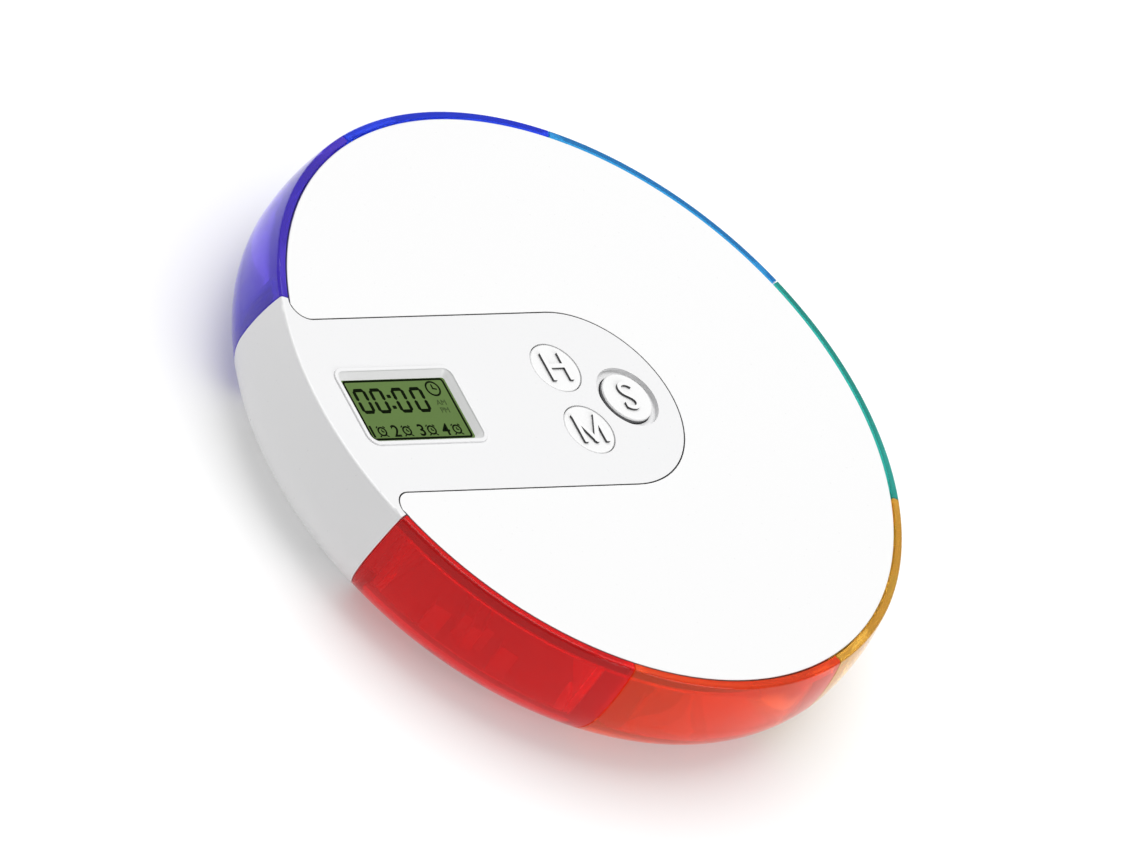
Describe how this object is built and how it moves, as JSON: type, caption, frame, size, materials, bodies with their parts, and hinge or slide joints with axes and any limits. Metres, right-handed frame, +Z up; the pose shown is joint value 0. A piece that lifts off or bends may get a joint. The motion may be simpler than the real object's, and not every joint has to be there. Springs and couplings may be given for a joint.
{
  "type": "round pill organiser with reminder clock",
  "caption": "Flat round pill organiser with pull-out coloured compartments in a ring, a fixed white cover and a control tongue with a clock display and push buttons.",
  "frame": {"origin": "centre of the body on the surface it stands on", "axes": "+X from the centre away from the control segment, along the tongue towards its round end; +Z up"},
  "size_m": [0.1114, 0.1114, 0.0213],
  "materials": {
    "white_shell": "gloss",
    "tray_red": "translucent gloss",
    "tray_orange": "translucent gloss",
    "tray_amber": "translucent gloss",
    "tray_teal": "translucent gloss",
    "tray_sky": "translucent gloss",
    "tray_blue": "translucent gloss",
    "tray_violet": "translucent gloss",
    "display": "clear glass over green liquid crystal",
    "inner_plastic": "matt",
    "dark_plastic": "matt",
    "board": "green solder mask",
    "rubber": "matt",
    "plated_steel": "nickel plated",
    "cell_case": "satin"
  },
  "bodies": {
    "case": {"base_shell": "white_shell", "housing_ring": "inner_plastic", "top_cover": "white_shell", "control_panel": "white_shell", "switch_hour": "plated_steel", "switch_minute": "plated_steel", "switch_set": "plated_steel", "display_cell": "display", "display_frame": "inner_plastic", "contact_strip_upper": "rubber", "contact_strip_lower": "rubber", "circuit_board": "board", "controller_chip": "dark_plastic", "clock_crystal": "plated_steel", "buzzer": "dark_plastic", "cell_holder": "inner_plastic", "battery_upper": "cell_case", "battery_lower": "cell_case", "contact_link": "plated_steel", "contact_positive": "plated_steel", "contact_negative": "plated_steel", "case_screws": "plated_steel", "cover_screws": "plated_steel", "board_screws": "plated_steel", "foot_1": "rubber", "foot_2": "rubber", "foot_3": "rubber", "foot_4": "rubber"},
    "tray_red_body": {"tray_red": "tray_red"},
    "tray_orange_body": {"tray_orange": "tray_orange"},
    "tray_amber_body": {"tray_amber": "tray_amber"},
    "tray_teal_body": {"tray_teal": "tray_teal"},
    "tray_sky_body": {"tray_sky": "tray_sky"},
    "tray_blue_body": {"tray_blue": "tray_blue"},
    "tray_violet_body": {"tray_violet": "tray_violet"},
    "hour_key": {"button_hour": "white_shell", "plunger_hour": "dark_plastic"},
    "minute_key": {"button_minute": "white_shell", "plunger_minute": "dark_plastic"},
    "set_key": {"button_set": "white_shell", "plunger_set": "dark_plastic"},
    "door": {"battery_door": "white_shell"}
  },
  "joints": [
    {"name": "tray_red_slide", "type": "slide", "parent": "case", "child": "tray_red_body", "axis": [-0.7071, -0.7071, 0], "range_m": [0, 0.0195]},
    {"name": "tray_orange_slide", "type": "slide", "parent": "case", "child": "tray_orange_body", "axis": [0, -1, 0], "range_m": [0, 0.0195]},
    {"name": "tray_amber_slide", "type": "slide", "parent": "case", "child": "tray_amber_body", "axis": [0.7071, -0.7071, 0], "range_m": [0, 0.0195]},
    {"name": "tray_teal_slide", "type": "slide", "parent": "case", "child": "tray_teal_body", "axis": [1, 0, 0], "range_m": [0, 0.0195]},
    {"name": "tray_sky_slide", "type": "slide", "parent": "case", "child": "tray_sky_body", "axis": [0.7071, 0.7071, 0], "range_m": [0, 0.0195]},
    {"name": "tray_blue_slide", "type": "slide", "parent": "case", "child": "tray_blue_body", "axis": [0, 1, 0], "range_m": [0, 0.0195]},
    {"name": "tray_violet_slide", "type": "slide", "parent": "case", "child": "tray_violet_body", "axis": [-0.7071, 0.7071, 0], "range_m": [0, 0.0195]},
    {"name": "hour_press", "type": "slide", "parent": "case", "child": "hour_key", "axis": [0, 0, -1], "range_m": [0, 0.0006], "stiffness_N_per_m": 600, "springref_m": -0.0005},
    {"name": "minute_press", "type": "slide", "parent": "case", "child": "minute_key", "axis": [0, 0, -1], "range_m": [0, 0.0006], "stiffness_N_per_m": 600, "springref_m": -0.0005},
    {"name": "set_press", "type": "slide", "parent": "case", "child": "set_key", "axis": [0, 0, -1], "range_m": [0, 0.0006], "stiffness_N_per_m": 600, "springref_m": -0.0005},
    {"name": "battery_door_slide", "type": "slide", "parent": "case", "child": "door", "axis": [-1, 0, 0], "range_m": [0, 0.046]}
  ]
}
